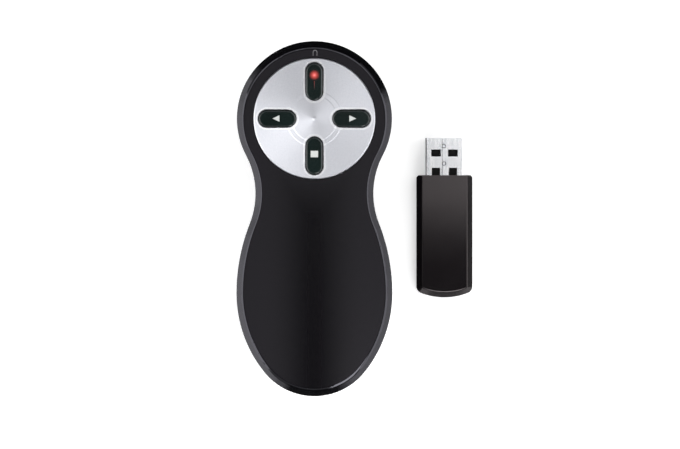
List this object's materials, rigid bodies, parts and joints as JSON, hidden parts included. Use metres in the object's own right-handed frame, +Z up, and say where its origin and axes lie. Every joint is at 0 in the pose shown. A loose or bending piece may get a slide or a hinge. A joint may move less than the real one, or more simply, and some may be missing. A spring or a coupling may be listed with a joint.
{
  "type": "presentation clicker",
  "caption": "Keyhole-shaped handheld presentation clicker with keys on a round silver plate, and the plug-in receiver that stores in its tail lying beside it.",
  "frame": {"origin": "on the flat back that the clicker lies on, below the centre of the round button plate", "axes": "+Y towards the nose, where the laser leaves, +Z up out of the keys, +X towards the receiver"},
  "size_m": [0.073, 0.1092, 0.0253],
  "materials": {
    "housing_black": "fine textured moulded ABS",
    "cover_black": "soft-touch matte paint on ABS",
    "band_black": "polished moulded ABS",
    "plate_silver": "spin-brushed and clear lacquered",
    "key_black": "polished moulded acrylic",
    "plunger": "moulded nylon",
    "circuit_board": "solder-masked glass epoxy",
    "switch_case": "moulded nylon",
    "chip": "moulded epoxy",
    "crystal_can": "plated steel can",
    "screw": "zinc-plated steel",
    "laser_brass": "turned brass",
    "lens": "clear glass",
    "diode_can": "gold-flashed can",
    "smoked_window": "smoked acrylic",
    "cell": "shrink sleeve over a steel can",
    "contact_metal": "nickel-plated spring steel",
    "door_black": "fine textured moulded ABS",
    "slider_black": "moulded ABS",
    "switch_metal": "plated steel case",
    "sleeve_black": "moulded ABS",
    "receiver_black": "satin moulded ABS",
    "plug_metal": "nickel-plated drawn steel",
    "plug_plastic": "moulded insulator",
    "gold_contact": "gold-flashed contact"
  },
  "bodies": {
    "handset": {"lower_housing": "housing_black", "rim_band": "band_black", "top_cover": "cover_black", "button_plate": "plate_silver", "main_board": "circuit_board", "tact_switches": "switch_case", "radio_chip": "chip", "board_crystal": "crystal_can", "board_screws": "screw", "housing_screws": "screw", "laser_barrel": "laser_brass", "laser_lens": "lens", "laser_diode": "diode_can", "laser_window": "smoked_window", "battery_left": "cell", "battery_right": "cell", "negative_contact": "contact_metal", "positive_contact": "contact_metal", "bridge_contact": "contact_metal", "head_spring": "contact_metal", "tail_spring": "contact_metal", "power_switch_body": "switch_metal", "receiver_sleeve": "sleeve_black"},
    "laser_key": {"laser_key": "key_black", "laser_plunger": "plunger"},
    "back_key": {"back_key": "key_black", "back_plunger": "plunger"},
    "blank_key": {"blank_key": "key_black", "blank_plunger": "plunger"},
    "forward_key": {"forward_key": "key_black", "forward_plunger": "plunger"},
    "battery_door": {"battery_door": "door_black"},
    "power_switch": {"power_slider": "slider_black"},
    "receiver": {"receiver_bottom_shell": "receiver_black", "receiver_top_shell": "receiver_black", "usb_shell": "plug_metal", "usb_tongue": "plug_plastic", "usb_contacts": "gold_contact", "receiver_board": "circuit_board", "receiver_chip": "chip", "receiver_crystal": "crystal_can"}
  },
  "joints": [
    {"name": "laser_press", "type": "slide", "parent": "handset", "child": "laser_key", "axis": [0, 0, -1], "range_m": [0, 0.0005], "stiffness_N_per_m": 2000},
    {"name": "back_press", "type": "slide", "parent": "handset", "child": "back_key", "axis": [0, 0, -1], "range_m": [0, 0.0005], "stiffness_N_per_m": 2000},
    {"name": "blank_press", "type": "slide", "parent": "handset", "child": "blank_key", "axis": [0, 0, -1], "range_m": [0, 0.0005], "stiffness_N_per_m": 2000},
    {"name": "forward_press", "type": "slide", "parent": "handset", "child": "forward_key", "axis": [0, 0, -1], "range_m": [0, 0.0005], "stiffness_N_per_m": 2000},
    {"name": "battery_door_swing", "type": "hinge", "parent": "handset", "child": "battery_door", "pos_m": [0, -0.0236, 0.00145], "axis": [1, 0, 0], "range_deg": [0, 95]},
    {"name": "power_switch_slide", "type": "slide", "parent": "handset", "child": "power_switch", "axis": [1, 0, 0], "range_m": [0, 0.002]},
    {"name": "receiver_lift", "type": "slide", "parent": "handset", "child": "receiver", "axis": [0, 0, 1], "range_m": [0, 0.06]}
  ]
}
